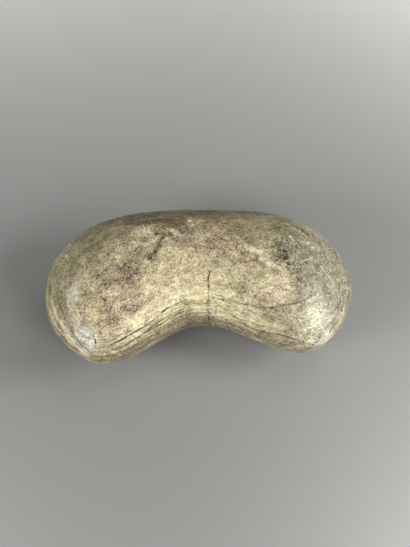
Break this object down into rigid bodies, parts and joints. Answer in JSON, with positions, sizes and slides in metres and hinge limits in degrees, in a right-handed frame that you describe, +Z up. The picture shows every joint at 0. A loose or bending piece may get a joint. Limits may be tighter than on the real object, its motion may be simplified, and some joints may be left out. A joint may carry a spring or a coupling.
{
  "type": "polished stone axe",
  "caption": "Kidney-shaped axe of ground and polished mottled stone, with a waist notch between its round lobes, lying on a flat spot on its underside.",
  "frame": {"origin": "on the ground, under the middle of the stone as it lies on its underside", "axes": "+X along the length towards the lobe with the ground facet, -Y towards the waist notch, +Z up"},
  "size_m": [0.203, 0.1098, 0.0614],
  "materials": {
    "stone": "satin-polished, mottled buff, mauve-brown and olive, with veins, pits and small chips"
  },
  "bodies": {
    "root": {"stone_axe": "stone"}
  },
  "joints": []
}
